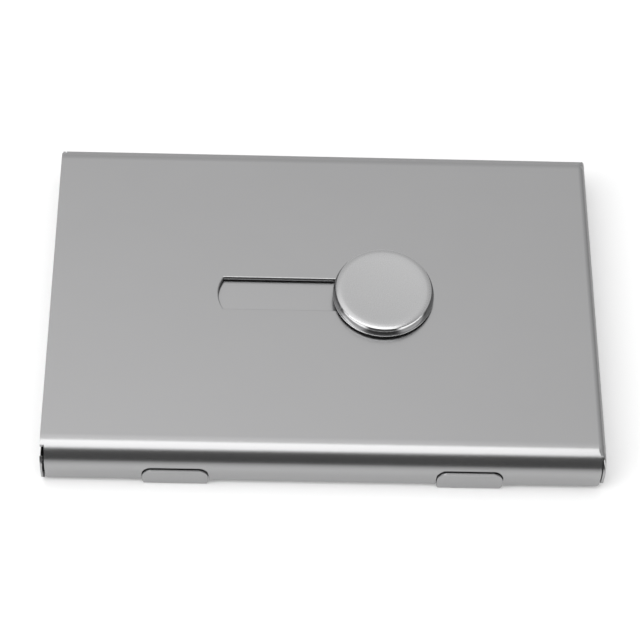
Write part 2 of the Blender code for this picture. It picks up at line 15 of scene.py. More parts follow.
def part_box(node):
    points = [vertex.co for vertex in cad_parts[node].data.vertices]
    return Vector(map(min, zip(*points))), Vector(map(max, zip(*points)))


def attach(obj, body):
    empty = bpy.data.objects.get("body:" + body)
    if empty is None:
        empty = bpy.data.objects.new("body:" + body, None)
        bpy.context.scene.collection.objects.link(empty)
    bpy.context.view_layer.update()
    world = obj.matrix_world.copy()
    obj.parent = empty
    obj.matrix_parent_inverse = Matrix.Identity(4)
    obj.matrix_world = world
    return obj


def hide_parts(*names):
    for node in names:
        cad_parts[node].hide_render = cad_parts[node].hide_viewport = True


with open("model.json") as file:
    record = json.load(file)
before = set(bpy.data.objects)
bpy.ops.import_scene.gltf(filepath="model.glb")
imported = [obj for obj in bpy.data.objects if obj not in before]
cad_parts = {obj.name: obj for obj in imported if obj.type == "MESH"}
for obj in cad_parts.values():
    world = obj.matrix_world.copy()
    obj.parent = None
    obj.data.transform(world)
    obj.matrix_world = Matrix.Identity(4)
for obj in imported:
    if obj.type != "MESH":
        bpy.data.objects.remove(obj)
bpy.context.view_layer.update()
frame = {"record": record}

# Lengths in metres
MM = 0.001
FIT_GAP = 0.3 * MM
RUNNING_GAP = 0.1 * MM
OVERRUN = 1.0 * MM
WELD = 0.0005 * MM

# Cover
COVER_SHEET = 0.6 * MM
FRONT_BEND = 4.4 * MM
BACK_BEND = 3.3 * MM
END_FILLET = 1.4 * MM
SIDE_FILLET = 0.25 * MM
INNER_FILLET = END_FILLET - COVER_SHEET
INNER_SIDE_FILLET = INNER_FILLET / 4
FULL_FILLET_TILT = 20           # degrees off upright up to which the right end's fillet is full
SIDE_FILLET_TILT = 62           # and past which it is as small as on the walls
FILLET_POWER = 1.5              # how the fillet falls between the two
SLIT_RISE = 6.7 * MM
SLIT_GAP = 0.22 * MM            # between the left end wall and the cover
SEAM_RISE = 6.35 * MM
SEAM_WIDTH = 0.20 * MM          # slit between a long wall and the right end
RELIEF_RADIUS = 0.22 * MM       # round end of that slit
WALL_CORNER = 0.6 * MM          # lower corners of the long walls
END_CORNER = 1.6 * MM           # lower corners of the right end wall
COVER_EDGE = 0.05 * MM          # rolled edge of the cut sheet

# Hinge
KNUCKLE_RADIUS = 1.05 * MM
EAR_RADIUS = 0.85 * MM
TONGUE_CENTRES = (-25.0 * MM, 24.8 * MM)
TONGUE_HEIGHTS = (4.3 * MM, 4.75 * MM)     # the lid lies a little lower at the left
TONGUE_WIDTH = 11.15 * MM
TONGUE_PROUD = 0.35 * MM
TONGUE_TOP_RADIUS = 1.5 * MM
TONGUE_STRETCH = 1.35           # the corners are taller than wide
TONGUE_FOOT_RADIUS = 0.95 * MM
TONGUE_BEND = 0.5 * MM

# Lid
LID_SHEET = 0.5 * MM
LID_BEND = 0.8 * MM
LIP_HEIGHT = 4.2 * MM
FRONT_LIP_HEIGHT = 2.0 * MM     # low lip behind the cover's front wall, left out at the tongues
EXIT_WIDTH = 63.0 * MM
EXIT_SILL = 5.6 * MM
EXIT_CORNER = 0.4 * MM
EXIT_CHAMFER = 0.42 * MM        # slope along the inside of the card exit's edge
WALL_END_CHAMFER = 0.18 * MM    # at the inside of the end wall's two upright ends
LID_EDGE = 0.05 * MM            # rolled edge of the cut sheet

# Slot
SLOT_LEFT_X = -18.5 * MM
SLOT_WIDTH = 6.5 * MM
SLOT_CORNER = 3.0 * MM
SLOT_END_REACH = 0.9 * MM       # left end's shallow arc, past the corners it starts from
SLOT_ROLL = 0.40 * MM           # rolled rim of the punched slot at its far side
NEAR_ROLL = 0.35                # share of that at its near side

# Steps along curved shapes
BEND_STEPS = 40
CORNER_STEPS = 14
FILLET_STEPS = 10
RIM_STEPS = 8
ROUND_STEPS = 160
SMALL_ROUND_STEPS = 48

# Angles between two faces, in degrees
ROLLED_ANGLE = 32               # past which a cut sheet's edge is rolled
SHARP_ANGLE = 30                # past which an edge is shaded sharp
DOME_SHARP_ANGLE = 40
BUTTON_SHARP_ANGLE = 35


def box(node):
    """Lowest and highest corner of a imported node."""
    return [np.array(corner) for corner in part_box(node)]


def middle(node):
    """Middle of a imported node, in plan."""
    low, high = box(node)
    return (low[:2] + high[:2]) / 2


def joint(name):
    """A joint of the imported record."""
    joints = frame["record"]["behaviour"]["joints"]
    return next(item for item in joints if item["name"] == name)


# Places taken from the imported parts
cover_low, cover_high = box("cover_shell")
plate_low, plate_high = box("slider_plate")
button_low, button_high = box("thumb_button")
washer_low, washer_high = box("button_washer")
shoe_low, shoe_high = box("guide_shoe")
rivet_low, rivet_high = box("button_rivet")
spring_low, spring_high = box("card_spring")
AXIS_Y, AXIS_Z = joint("cover_hinge")["pos_m"][1:]
LEFT_X, FRONT_Y = cover_low[:2]
RIGHT_X, BACK_Y, TOP_Z = cover_high
BOTTOM_Z = AXIS_Z
INSIDE_Z = TOP_Z - COVER_SHEET
END_INSIDE_X = RIGHT_X - COVER_SHEET
LID_WALL_X = LEFT_X + LID_SHEET
LID_RIGHT_X = END_INSIDE_X - FIT_GAP
LID_BACK_Y = BACK_Y - COVER_SHEET - FIT_GAP
LID_FRONT_Y = AXIS_Y + FIT_GAP + RUNNING_GAP
END_WALL_HEIGHT = box("bottom_lid")[1][2]
BUTTON_X, SLOT_Y = middle("thumb_button")
BUTTON_RADIUS = (button_high[0] - button_low[0]) / 2
BUTTON_HEIGHT = button_high[2] - button_low[2]
SLOT_RIGHT_X = shoe_high[0] + FIT_GAP
NOTCH_HALF = TONGUE_WIDTH / 2 + RUNNING_GAP
EAR_SIDE = NOTCH_HALF + COVER_SHEET     # outer face of an ear, from its tongue's middle
PIN_RADIUS = (box("hinge_pin_left")[1][2] - box("hinge_pin_left")[0][2]) / 2
PIN_HOLE = PIN_RADIUS + RUNNING_GAP


def rounded(corners, closed=True):
    """Points through corners (u, v, radius): each corner with a radius becomes a round arc whose
    centre lies on the corner's bisector, radius / sin(half angle) away."""
    runs = []
    count = len(corners)
    for index, (u, v, radius) in enumerate(corners):
        corner = np.array([u, v])
        if radius <= 0 or (not closed and index in (0, count - 1)):
            runs.append(corner[None])
            continue
        before = np.array(corners[index - 1][:2]) - corner
        after = np.array(corners[(index + 1) % count][:2]) - corner
        before = before / np.linalg.norm(before)
        after = after / np.linalg.norm(after)
        half = math.acos(np.clip(before @ after, -1, 1)) / 2
        bisector = (before + after) / np.linalg.norm(before + after)
        centre = corner + bisector * radius / math.sin(half)
        start, end = (corner + side * radius / math.tan(half) - centre for side in (before, after))
        first = math.atan2(start[1], start[0])
        turn = (math.atan2(end[1], end[0]) - first + math.pi) % (2 * math.pi) - math.pi
        angle = first + turn * np.linspace(0, 1, CORNER_STEPS + 1)
        runs.append(centre + radius * np.stack([np.cos(angle), np.sin(angle)], axis=1))
    return np.concatenate(runs)


def sheet_outline(path, sheet):
    """Outline of a bent sheet: the outer face follows the path, the inner face is the same path
    moved one sheet to its left, each bend about the same centre."""
    inner = []
    for index, (u, v, radius) in enumerate(path):
        normals = []
        for first, second in ((index - 1, index), (index, index + 1)):
            if 0 <= first and second < len(path):
                run = np.array(path[second][:2]) - np.array(path[first][:2])
                normals.append(np.array([-run[1], run[0]]) / np.linalg.norm(run))
        total = sum(normals)
        shift = sheet * len(normals) * total / (total @ total)
        inner.append((u + shift[0], v + shift[1], max(radius - sheet, 0)))
    return np.concatenate([rounded(path, closed=False), rounded(inner, closed=False)[::-1]])


def circle(centre, radius, steps=SMALL_ROUND_STEPS):
    """Points of a circle."""
    angle = np.linspace(0, 2 * math.pi, steps, endpoint=False)
    return np.array(centre) + radius * np.stack([np.cos(angle), np.sin(angle)], axis=1)


def rectangle(low, high, radius=0.0):
    """A rectangle with round corners."""
    return rounded([(low[0], low[1], radius), (high[0], low[1], radius),
                    (high[0], high[1], radius), (low[0], high[1], radius)])


def make_piece(name, points, faces):
    """A mesh object at the origin, with its doubles merged and its faces turned outwards."""
    mesh = bpy.data.meshes.new(name)
    mesh.from_pydata(points.tolist(), [], faces)
    work = bmesh.new()
    work.from_mesh(mesh)
    bmesh.ops.remove_doubles(work, verts=work.verts, dist=WELD)
    bmesh.ops.recalc_face_normals(work, faces=work.faces)
    work.to_mesh(mesh)
    work.free()
    piece = bpy.data.objects.new(name, mesh)
    bpy.context.scene.collection.objects.link(piece)
    return piece


def loft(name, rings, capped=True):
    """A closed surface through rings of points: rings[k, n] is point n of ring k, neighbours are
    joined by four-sided faces, and the first and last ring are closed by one flat face each."""
    count, size = rings.shape[:2]
    index = np.arange(count * size).reshape(count, size)
    after = np.roll(index, -1, axis=1)
    faces = np.stack([index[:-1], after[:-1], after[1:], index[1:]], axis=-1).reshape(-1, 4).tolist()
    if capped:
        faces += [index[0][::-1].tolist(), index[-1].tolist()]
    return make_piece(name, rings.reshape(-1, 3), faces)


def prism(name, outline, plane, low, high):
    """A flat outline in the XY, XZ or YZ plane, carried square to it from low to high."""
    first, second = ("XYZ".index(letter) for letter in plane)
    rings = np.zeros((2, len(outline), 3))
    rings[:, :, first] = outline[:, 0]
    rings[:, :, second] = outline[:, 1]
    rings[:, :, 3 - first - second] = np.array([low, high])[:, None]
    return loft(name, rings)


def block(name, low, high):
    """A box between two corners."""
    return prism(name, rectangle(low[:2], high[:2]), "XY", low[2], high[2])


def turned(name, profile, centre, steps, axis="Z"):
    """A turned solid: each profile point (radius, height) goes round the axis through the centre,
    at angle 2 pi n / steps. Points on the axis close the two ends."""
    profile = np.array(profile)
    angle = np.linspace(0, 2 * math.pi, steps, endpoint=False)
    across = profile[:, 0, None] * np.cos(angle)
    along = profile[:, 0, None] * np.sin(angle)
    height = np.broadcast_to(profile[:, 1, None], across.shape)
    order = {"Z": (across, along, height), "X": (height, across, along)}[axis]
    rings = np.stack(order, axis=-1) + np.array(centre)
    return loft(name, rings, capped=False)


def settle(piece):
    """Applies a piece's modifiers."""
    graph = bpy.context.evaluated_depsgraph_get()
    done = bpy.data.meshes.new_from_object(piece.evaluated_get(graph))
    piece.modifiers.clear()
    piece.data = done


def combine(piece, tools, operation):
    """Cuts, joins or trims a piece by other solids, which are then gone."""
    for tool in tools:
        change = piece.modifiers.new(tool.name, "BOOLEAN")
        change.operation = operation
        change.object = tool
    settle(piece)
    for tool in tools:
        bpy.data.objects.remove(tool)
    return piece


def cut(piece, *tools):
    return combine(piece, tools, "DIFFERENCE")


def join(piece, *tools):
    return combine(piece, tools, "UNION")


def trim(piece, *tools):
    return combine(piece, tools, "INTERSECT")


def roll_edges(piece, width, segments=3):
    """Rolls the sharp edges of cut sheet, in the second material, and keeps flat faces shaded flat."""
    piece.data.shade_smooth()
    bevel = piece.modifiers.new("edges", "BEVEL")
    bevel.width = width
    bevel.segments = segments
    bevel.limit_method = "ANGLE"
    bevel.angle_limit = math.radians(ROLLED_ANGLE)
    bevel.miter_outer = "MITER_ARC"
    bevel.material = 1
    bevel.harden_normals = False
    normals = piece.modifiers.new("normals", "WEIGHTED_NORMAL")
    normals.mode = "FACE_AREA"
    normals.weight = 100


def smooth(piece, angle=SHARP_ANGLE):
    """Shades a turned piece smooth, with its sharp edges kept."""
    piece.data.shade_smooth()
    piece.data.set_sharp_from_angle(angle=math.radians(angle))


# Materials
FINE_GRAIN = 9000               # grains per metre
CLOUDS = 55                     # clouds per metre
NOISE_LOW, NOISE_HIGH = 0.25, 0.75      # nearly all of a noise lies between these
GLOSS_SPREAD = 0.03             # up and down from a metal's roughness
METAL_RELIEF = 0.01 * MM        # depth of the grain
NYLON_TINT = 0.15
NYLON_GLOSS_SPREAD = 0.06
NYLON_RELIEF = 0.02 * MM
NYLON_BUMP = 0.3


def add(tree, kind, inputs=None, **settings):
    """A shader node with its settings and inputs: a socket is linked, anything else is a value."""
    node = tree.nodes.new(kind)
    for name, value in settings.items():
        setattr(node, name, value)
    for name, value in (inputs or {}).items():
        if isinstance(value, bpy.types.NodeSocket):
            tree.links.new(value, node.inputs[name])
        else:
            node.inputs[name].default_value = value
    return node


def blank_material(name):
    """A new material: its node tree and its shader."""
    material = bpy.data.materials.new(name)
    material.use_nodes = True
    tree = material.node_tree
    return material, tree, tree.nodes["Principled BSDF"]


def noise(tree, scale, size, detail=2.0, roughness=0.5):
    """Noise on the piece's own coordinates: grains are 1 / (scale * size) metres in each axis."""
    place = add(tree, "ShaderNodeTexCoord").outputs["Object"]
    stretched = add(tree, "ShaderNodeMapping", {"Vector": place, "Scale": scale})
    grain = add(tree, "ShaderNodeTexNoise", {
        "Vector": stretched.outputs["Vector"], "Scale": size, "Detail": detail, "Roughness": roughness,
    })
    return grain.outputs["Fac"]


def span(tree, value, low, high):
    """Turns a 0 to 1 pattern into low to high."""
    return add(tree, "ShaderNodeMapRange", {
        "Value": value, "From Min": NOISE_LOW, "From Max": NOISE_HIGH, "To Min": low, "To Max": high,
    }).outputs["Result"]


def mean(tree, *patterns):
    """Mean of the patterns."""
    total = patterns[0]
    for pattern in patterns[1:]:
        total = add(tree, "ShaderNodeMath", {0: total, 1: pattern}, operation="ADD").outputs[0]
    return add(tree, "ShaderNodeMath", {0: total, 1: 1 / len(patterns)}, operation="MULTIPLY").outputs[0]


def tinted(tree, colour, amount, *patterns):
    """A grey colour made lighter and darker by patterns, by the given share of itself."""
    share = span(tree, mean(tree, *patterns), 0.0, 1.0)
    mix = add(tree, "ShaderNodeMix", {0: share}, data_type="RGBA")
    mix.inputs[6].default_value = (*[part * (1 - amount) for part in colour], 1)
    mix.inputs[7].default_value = (*[part * (1 + amount) for part in colour], 1)
    return mix.outputs[2]


def satin_metal(name, colour, roughness, tint=0.02, bump=0.05, stretch=(1 / 3, 1, 1), glancing=0.4):
    """Satin metal: fine grain drawn out by the stretch, faint clouds in tone and gloss, a soft bump,
    and only a share of its shine at a glancing angle."""
    material, tree, shader = blank_material(name)
    grain = noise(tree, stretch, FINE_GRAIN, detail=3.0)
    cloud = noise(tree, (1, 1.6, 1), CLOUDS, detail=5.0, roughness=0.7)
    tree.links.new(tinted(tree, colour, tint, grain, cloud), shader.inputs["Base Color"])
    gloss = span(tree, mean(tree, grain, cloud), roughness - GLOSS_SPREAD, roughness + GLOSS_SPREAD)
    tree.links.new(gloss, shader.inputs["Roughness"])
    relief = add(tree, "ShaderNodeBump", {"Height": grain, "Strength": bump, "Distance": METAL_RELIEF})
    tree.links.new(relief.outputs["Normal"], shader.inputs["Normal"])
    shader.inputs["Metallic"].default_value = 1.0
    shader.inputs["Specular Tint"].default_value = (glancing, glancing, glancing, 1)
    return material


def moulded_nylon(name, colour, roughness):
    """Dark moulded plastic with a fine matt texture."""
    material, tree, shader = blank_material(name)
    grain = noise(tree, (1, 1, 1), FINE_GRAIN)
    tree.links.new(tinted(tree, colour, NYLON_TINT, grain), shader.inputs["Base Color"])
    gloss = span(tree, grain, roughness - NYLON_GLOSS_SPREAD, roughness + NYLON_GLOSS_SPREAD)
    tree.links.new(gloss, shader.inputs["Roughness"])
    relief = add(tree, "ShaderNodeBump", {"Height": grain, "Strength": NYLON_BUMP,
                                            "Distance": NYLON_RELIEF})
    tree.links.new(relief.outputs["Normal"], shader.inputs["Normal"])
    return material


SATIN_SHEET = satin_metal("satin_sheet", (0.40, 0.40, 0.403), 0.235, glancing=0.5)
SHEET_EDGE = satin_metal("burnished_sheet_edge", (0.52, 0.52, 0.524), 0.20, bump=0.02)
SLIDER_SHEET = satin_metal("satin_slider_sheet", (0.41, 0.41, 0.413), 0.25)
BUTTON_FACE = satin_metal("satin_button_face", (0.49, 0.49, 0.494), 0.27, stretch=(1, 1, 1))
BUTTON_RIM = satin_metal("polished_button_rim", (0.56, 0.56, 0.565), 0.10, tint=0.01, bump=0.06,
                         stretch=(0.05, 0.05, 1))
BRIGHT_STEEL = satin_metal("bright_steel", (0.52, 0.53, 0.54), 0.20, stretch=(1 / 12, 1, 1))
BLACK_NYLON = moulded_nylon("black_nylon", (0.012, 0.012, 0.013), 0.5)


def dress(piece, body, slot, materials, *nodes):
    """Gives a piece its materials and its body, and hides the imported nodes it stands for. The record
    slot is not used.
    """
    piece.data.materials.clear()
    for material in materials:
        piece.data.materials.append(material)
    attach(piece, body)
    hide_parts(*nodes)


# Cover


def end_outline(inset, bottom_z):
    """End view of the case and its outward normals: up the front wall, a quarter circle, the top,
    a quarter circle and down the back wall, all moved inwards by the inset."""
    angle = np.radians(np.linspace(180, 90, BEND_STEPS + 1))
    front = np.stack([np.cos(angle), np.sin(angle)], axis=1)
    back = front[::-1] * (-1, 1)
    points = np.concatenate([
        [[FRONT_Y + inset, bottom_z]],
        (FRONT_Y + FRONT_BEND, TOP_Z - FRONT_BEND) + (FRONT_BEND - inset) * front,
        (BACK_Y - BACK_BEND, TOP_Z - BACK_BEND) + (BACK_BEND - inset) * back,
        [[BACK_Y - inset, bottom_z]],
    ])
    normals = np.concatenate([[[-1, 0]], front, back, [[1, 0]]])
    return points, normals


def case_block(name, inset, left_x, right_x, bottom_z, top_fillet, side_fillet):
    """The case's end view carried along X. Near the right end each point moves inwards along its
    normal by r (1 - cos t) and on along X by r sin t. The fillet r falls from the top's to the
    walls' with a power of the share of the tilt that is left."""
    points, normals = end_outline(inset, bottom_z)
    tilt = np.degrees(np.arccos(np.clip(normals[:, 1], 0, 1)))
    left = np.clip((SIDE_FILLET_TILT - tilt) / (SIDE_FILLET_TILT - FULL_FILLET_TILT), 0, 1)
    fillet = side_fillet + (top_fillet - side_fillet) * left ** FILLET_POWER
    turn = np.linspace(0, math.pi / 2, FILLET_STEPS + 1)[:, None]
    drawn_in = fillet * (1 - np.cos(turn))
    rings = np.zeros((FILLET_STEPS + 2, len(points), 3))
    rings[0, :, 0] = left_x
    rings[0, :, 1:] = points
    rings[1:, :, 0] = right_x - fillet + fillet * np.sin(turn)
    rings[1:, :, 1:] = points - normals * drawn_in[:, :, None]
    return loft(name, rings)


def bend_place(rise, radius):
    """How far from the middle plane a long bend's outer face has this height over the walls' edge."""
    above = rise - (TOP_Z - BOTTOM_Z - radius)
    return BACK_Y - radius + math.sqrt(radius ** 2 - above ** 2)


def side_slits(name, rise, left_x, right_x):
    """Cutters for one slit in each long wall, from its lower edge up to a height on its bend."""
    low_z, high_z = BOTTOM_Z - OVERRUN, TOP_Z + OVERRUN
    front_y, back_y = -bend_place(rise, FRONT_BEND), bend_place(rise, BACK_BEND)
    return [block(name + "_front", (left_x, FRONT_Y - OVERRUN, low_z), (right_x, front_y, high_z)),
            block(name + "_back", (left_x, back_y, low_z), (right_x, BACK_Y + OVERRUN, high_z))]


def corner_cutter(name, plane, corner, inward, radius, low, high):
    """What lies outside a round corner of a sheet: a square round the corner less a quarter disc.
    Inward gives the side of the sheet on each axis, 1 or -1."""
    corner, inward = np.array(corner), np.array(inward)
    angle = np.linspace(0, math.pi / 2, CORNER_STEPS + 1)
    arc = radius - radius * np.stack([np.cos(angle), np.sin(angle)], axis=1)
    outside = [(radius, -OVERRUN), (-OVERRUN, -OVERRUN), (-OVERRUN, radius)]
    return prism(name, corner + inward * np.concatenate([arc, outside]), plane, low, high)


def slot_outline():
    """The slot's plan: round corners under the button, and one shallow arc across the left end, of
    radius (half width squared + reach squared) / (2 reach)."""
    half = SLOT_WIDTH / 2
    corner_x = SLOT_LEFT_X + SLOT_END_REACH
    straight = rounded([
        (corner_x, SLOT_Y - half, 0),
        (SLOT_RIGHT_X, SLOT_Y - half, SLOT_CORNER),
        (SLOT_RIGHT_X, SLOT_Y + half, SLOT_CORNER),
        (corner_x, SLOT_Y + half, 0),
    ], closed=False)
    radius = (half ** 2 + SLOT_END_REACH ** 2) / (2 * SLOT_END_REACH)
    spread = math.asin(half / radius)
    angle = math.pi + spread * np.linspace(-1, 1, 2 * CORNER_STEPS + 1)[1:-1]
    centre = np.array([SLOT_LEFT_X + radius, SLOT_Y])
    return np.concatenate([straight, centre + radius * np.stack([np.cos(angle), np.sin(angle)], axis=1)])


def round_slot_rim(cover):
    """Rounds the slot's upper edge, as punching draws it in, more at the far side than at the near
    side. The share grows evenly from one to the other."""
    mesh = cover.data
    half = SLOT_WIDTH / 2
    places = np.zeros(len(mesh.vertices) * 3)
    mesh.vertices.foreach_get("co", places)
    places = places.reshape(-1, 3)
    on_rim = (abs(places[:, 2] - TOP_Z) < WELD) & (abs(places[:, 1] - SLOT_Y) < half + WELD)
    on_rim &= (places[:, 0] > SLOT_LEFT_X - WELD) & (places[:, 0] < SLOT_RIGHT_X + WELD)
    ends = np.zeros(len(mesh.edges) * 2, dtype=np.int32)
    mesh.edges.foreach_get("vertices", ends)
    ends = ends.reshape(-1, 2)
    far = (places[ends, 1].mean(axis=1) - SLOT_Y + half) / (2 * half)
    share = np.where(on_rim[ends].all(axis=1), NEAR_ROLL + (1 - NEAR_ROLL) * far, 0)
    weights = mesh.attributes.new("bevel_weight_edge", "FLOAT", "EDGE")
    weights.data.foreach_set("value", share.astype(np.float32))
    rim = cover.modifiers.new("rim", "BEVEL")
    rim.width = SLOT_ROLL
    rim.segments = RIM_STEPS
    rim.limit_method = "WEIGHT"
    settle(cover)


def tongue_face(centre, half, low_z, high_z, foot_radius, top_radius):
    """Front view of a tongue or its notch: straight sides, elliptical upper corners. The corners are
    round in a view squeezed in height, which is then stretched again."""
    low, high = low_z / TONGUE_STRETCH, high_z / TONGUE_STRETCH
    squeezed = rounded([
        (centre - half, low, foot_radius),
        (centre + half, low, foot_radius),
        (centre + half, high, top_radius),
        (centre - half, high, top_radius),
    ])
    return squeezed * (1, TONGUE_STRETCH)


def ear_outline():
    """Side view of a hinge ear: a web from the wall's inside to a round end about the pin."""
    angle = np.linspace(math.pi / 2, -math.pi, SMALL_ROUND_STEPS)
    end = np.array([AXIS_Y, AXIS_Z]) + EAR_RADIUS * np.stack([np.cos(angle), np.sin(angle)], axis=1)
    web_y = FRONT_Y + COVER_SHEET / 2
    web = [[web_y, AXIS_Z], [web_y, AXIS_Z + EAR_RADIUS]]
    return np.concatenate([end[end[:, 0] > web_y], web])


def pin_hole(name, centre, half):
    """Cutter for a hinge pin's hole, through what reaches half its width to each side."""
    half += OVERRUN
    return prism(name, circle((AXIS_Y, AXIS_Z), PIN_HOLE), "YZ", centre - half, centre + half)


def make_cover():
    """Cover: the case block less a smaller one, with seams, slot, notches and hinge ears."""
    low_z = BOTTOM_Z - OVERRUN
    cover = case_block("cover_satin_shell", 0, LEFT_X, RIGHT_X, BOTTOM_Z, END_FILLET, SIDE_FILLET)
    cut(cover, case_block("hollow", COVER_SHEET, LEFT_X - OVERRUN, END_INSIDE_X, low_z, INNER_FILLET,
                          INNER_SIDE_FILLET))
    seam_x = END_INSIDE_X - SEAM_WIDTH / 2
    wall_x = LID_WALL_X + SLIT_GAP
    tools = [*side_slits("seam", SEAM_RISE, seam_x, seam_x + SEAM_WIDTH),
             *side_slits("slit", SLIT_RISE, LEFT_X - OVERRUN, wall_x),
             prism("slot", slot_outline(), "XY", INSIDE_Z - OVERRUN, TOP_Z + OVERRUN)]
    for name, side, radius in (("front", -1, FRONT_BEND), ("back", 1, BACK_BEND)):
        wall_y = side * BACK_Y
        across = sorted((wall_y - side * (COVER_SHEET + OVERRUN), wall_y + side * OVERRUN))
        relief = circle((END_INSIDE_X, side * bend_place(SEAM_RISE, radius)), RELIEF_RADIUS)
        tools += [
            prism("relief_" + name, relief, "XY", INSIDE_Z - BACK_BEND, TOP_Z + OVERRUN),
            corner_cutter("left_corner_" + name, "XZ", (wall_x, BOTTOM_Z), (1, 1), WALL_CORNER,
                          *across),
            corner_cutter("right_corner_" + name, "XZ", (seam_x, BOTTOM_Z), (-1, 1), WALL_CORNER,
                          *across),
            corner_cutter("end_corner_" + name, "YZ", (wall_y, BOTTOM_Z), (-side, 1), END_CORNER,
                          END_INSIDE_X, RIGHT_X + OVERRUN),
        ]
    for number, (centre, height) in enumerate(zip(TONGUE_CENTRES, TONGUE_HEIGHTS)):
        notch = tongue_face(centre, NOTCH_HALF, low_z, height + FIT_GAP, 0,
                            TONGUE_TOP_RADIUS + RUNNING_GAP)
        tools.append(prism(f"notch_{number}", notch, "XZ", FRONT_Y - OVERRUN, AXIS_Y))
    cut(cover, *tools)
    ears = []
    for number, centre in enumerate(TONGUE_CENTRES):
        for end, side in enumerate((-1, 1)):
            edges = sorted((centre + side * NOTCH_HALF, centre + side * EAR_SIDE))
            ears.append(prism(f"ear_{number}_{end}", ear_outline(), "YZ", *edges))
    join(cover, *ears)
    cut(cover, *[pin_hole(f"pin_hole_{number}", centre, EAR_SIDE)
                 for number, centre in enumerate(TONGUE_CENTRES)])
    round_slot_rim(cover)
    roll_edges(cover, COVER_EDGE)
    dress(cover, "cover", "satin_aluminium", (SATIN_SHEET, SHEET_EDGE), "cover_shell")


# Lid


def tongue_outline(height):
    """Side view of a tongue: upright face, round foot, and a knuckle about the pin."""
    face_y = FRONT_Y - TONGUE_PROUD
    rear_y = face_y + LID_SHEET
    start = math.acos((rear_y - AXIS_Y) / KNUCKLE_RADIUS)
    end = math.asin((LID_SHEET - AXIS_Z) / KNUCKLE_RADIUS)
    angle = np.linspace(start, end, SMALL_ROUND_STEPS)
    arc = np.stack([np.cos(angle), np.sin(angle)], axis=1)
    knuckle = np.array([AXIS_Y, AXIS_Z]) + KNUCKLE_RADIUS * arc
    root_y = AXIS_Y + 2 * KNUCKLE_RADIUS
    foot = rounded([(root_y, LID_SHEET, 0), (root_y, 0, 0), (face_y, 0, TONGUE_BEND),
                    (face_y, height, 0)], closed=False)
    return np.concatenate([foot, [[rear_y, height]], knuckle])


def make_tongue(number, centre, height):
    """One tongue with its knuckle: the side view carried along X, trimmed to a round-cornered face."""
    half = TONGUE_WIDTH / 2
    tongue = prism(f"tongue_{number}", tongue_outline(height), "YZ", centre - half, centre + half)
    face = tongue_face(centre, half, 0, height, TONGUE_FOOT_RADIUS, TONGUE_TOP_RADIUS)
    trim(tongue, prism(f"face_{number}", face, "XZ", FRONT_Y - TONGUE_PROUD - OVERRUN,
                       LID_FRONT_Y + OVERRUN + KNUCKLE_RADIUS))
    return cut(tongue, pin_hole(f"bore_{number}", centre, half))


def front_lips(left_x, right_x):
    """The low front lip in three lengths, between the places of the ears."""
    aside = EAR_SIDE + FIT_GAP
    sides = [centre + side * aside for centre in TONGUE_CENTRES for side in (-1, 1)]
    ends = [left_x, *sides, right_x]
    back_y = LID_FRONT_Y + LID_SHEET
    return [block(f"front_lip_{left}", (ends[left], LID_FRONT_Y, 0),
                  (ends[left + 1], back_y, FRONT_LIP_HEIGHT)) for left in (0, 2, 4)]


def exit_slope(half_exit):
    """Cutter for the slope along the inside of the card exit's edge."""
    slope = np.array([
        (LID_WALL_X - EXIT_CHAMFER, EXIT_SILL),
        (LID_WALL_X, EXIT_SILL - EXIT_CHAMFER),
        (LID_WALL_X + OVERRUN, EXIT_SILL - EXIT_CHAMFER),
        (LID_WALL_X + OVERRUN, EXIT_SILL + OVERRUN),
        (LID_WALL_X - EXIT_CHAMFER, EXIT_SILL + OVERRUN),
    ])
    return prism("exit_chamfer", slope, "XZ", -half_exit, half_exit)


def wall_end_slope(name, wall_y, inward, top_z):
    """Cutter for the slope at one upright end of the end wall."""
    past_wall_x = LID_WALL_X + FIT_GAP
    slope = np.array([
        (LID_WALL_X - WALL_END_CHAMFER, wall_y),
        (LID_WALL_X, wall_y + inward),
        (past_wall_x, wall_y + inward),
        (past_wall_x, wall_y - inward),
        (LID_WALL_X - WALL_END_CHAMFER, wall_y - inward),
    ])
    return prism("end_slope_" + name, slope, "XY", LID_BEND, top_z)


def ear_rooms():
    """Cutters for the room that the cover's ears turn in, at both sides of each tongue."""
    rooms = []
    for number, centre in enumerate(TONGUE_CENTRES):
        for end, side in enumerate((-1, 1)):
            edges = sorted((centre + side * TONGUE_WIDTH / 2, centre + side * (EAR_SIDE + FIT_GAP)))
            rooms.append(block(f"ear_room_{number}_{end}", (edges[0], FRONT_Y - OVERRUN, -OVERRUN),
                               (edges[1], AXIS_Y + EAR_RADIUS + FIT_GAP, LID_SHEET + OVERRUN)))
    return rooms


def spring_rivet_holes(low_z, high_z):
    """Cutters for the holes of the two spring rivets."""
    return [prism(node + "_hole", circle(middle(node), SPRING_RIVET_HOLE), "XY", low_z, high_z)
            for node in SPRING_RIVETS]


